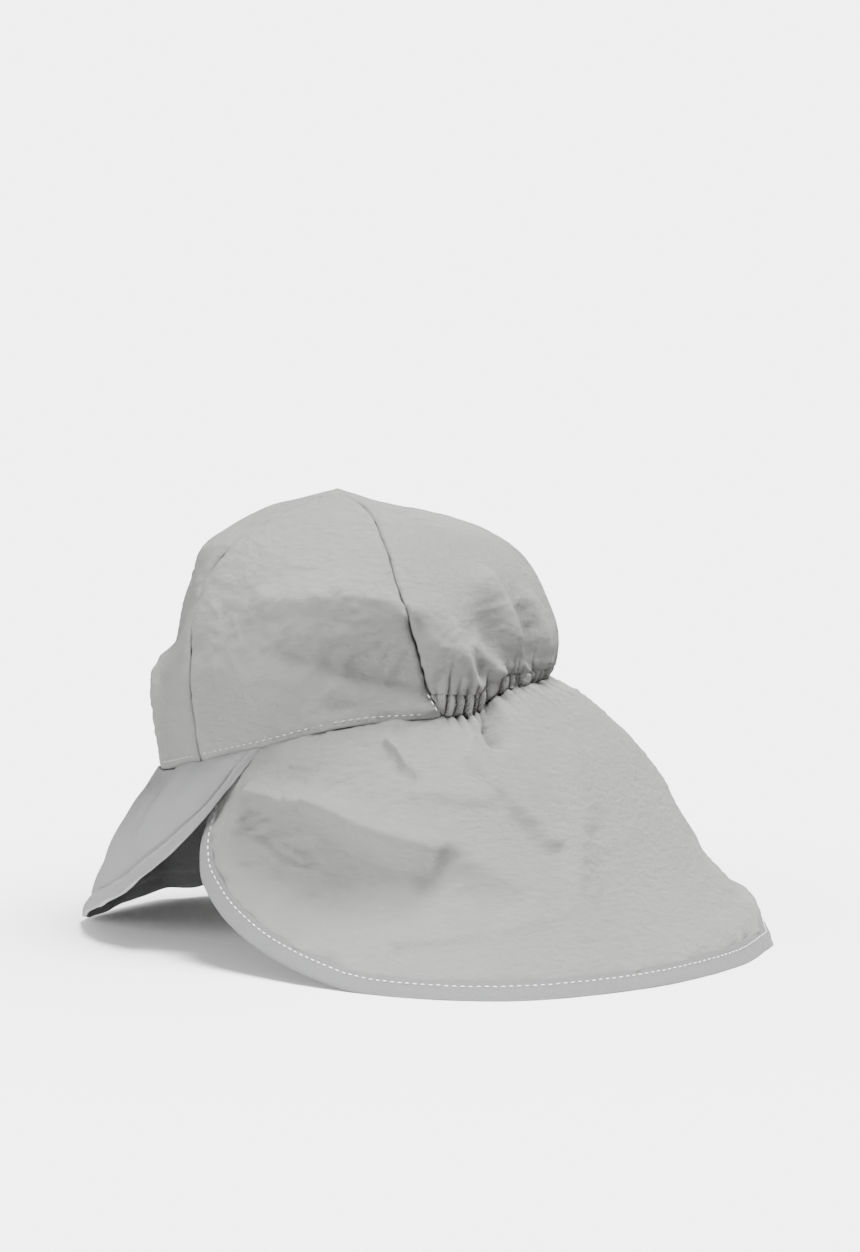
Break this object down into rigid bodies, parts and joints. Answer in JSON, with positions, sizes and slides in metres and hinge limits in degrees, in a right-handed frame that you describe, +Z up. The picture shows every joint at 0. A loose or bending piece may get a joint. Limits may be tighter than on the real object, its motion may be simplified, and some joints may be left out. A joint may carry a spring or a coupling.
{
  "type": "legionnaire cap",
  "caption": "Soft panelled sun cap with a short drooping peak, a gathered elastic back and a wide bound neck flap that flares to the surface it stands on.",
  "frame": {"origin": "middle of the cap's outline on the surface it stands on", "axes": "-Y towards the front of the peak, +X towards the wearer's left, +Z up from the surface"},
  "size_m": [0.2712, 0.2992, 0.1885],
  "materials": {
    "crown_nylon": "crinkled matt nylon",
    "peak_nylon": "stiffened matt nylon",
    "binding_tape": "folded woven tape"
  },
  "bodies": {
    "root": {"crown_front_left": "crown_nylon", "crown_front_right": "crown_nylon", "crown_side_left": "crown_nylon", "crown_side_right": "crown_nylon", "crown_back_left": "crown_nylon", "crown_back_right": "crown_nylon", "back_band": "crown_nylon", "peak": "peak_nylon", "neck_flap": "crown_nylon", "flap_binding": "binding_tape"}
  },
  "joints": []
}
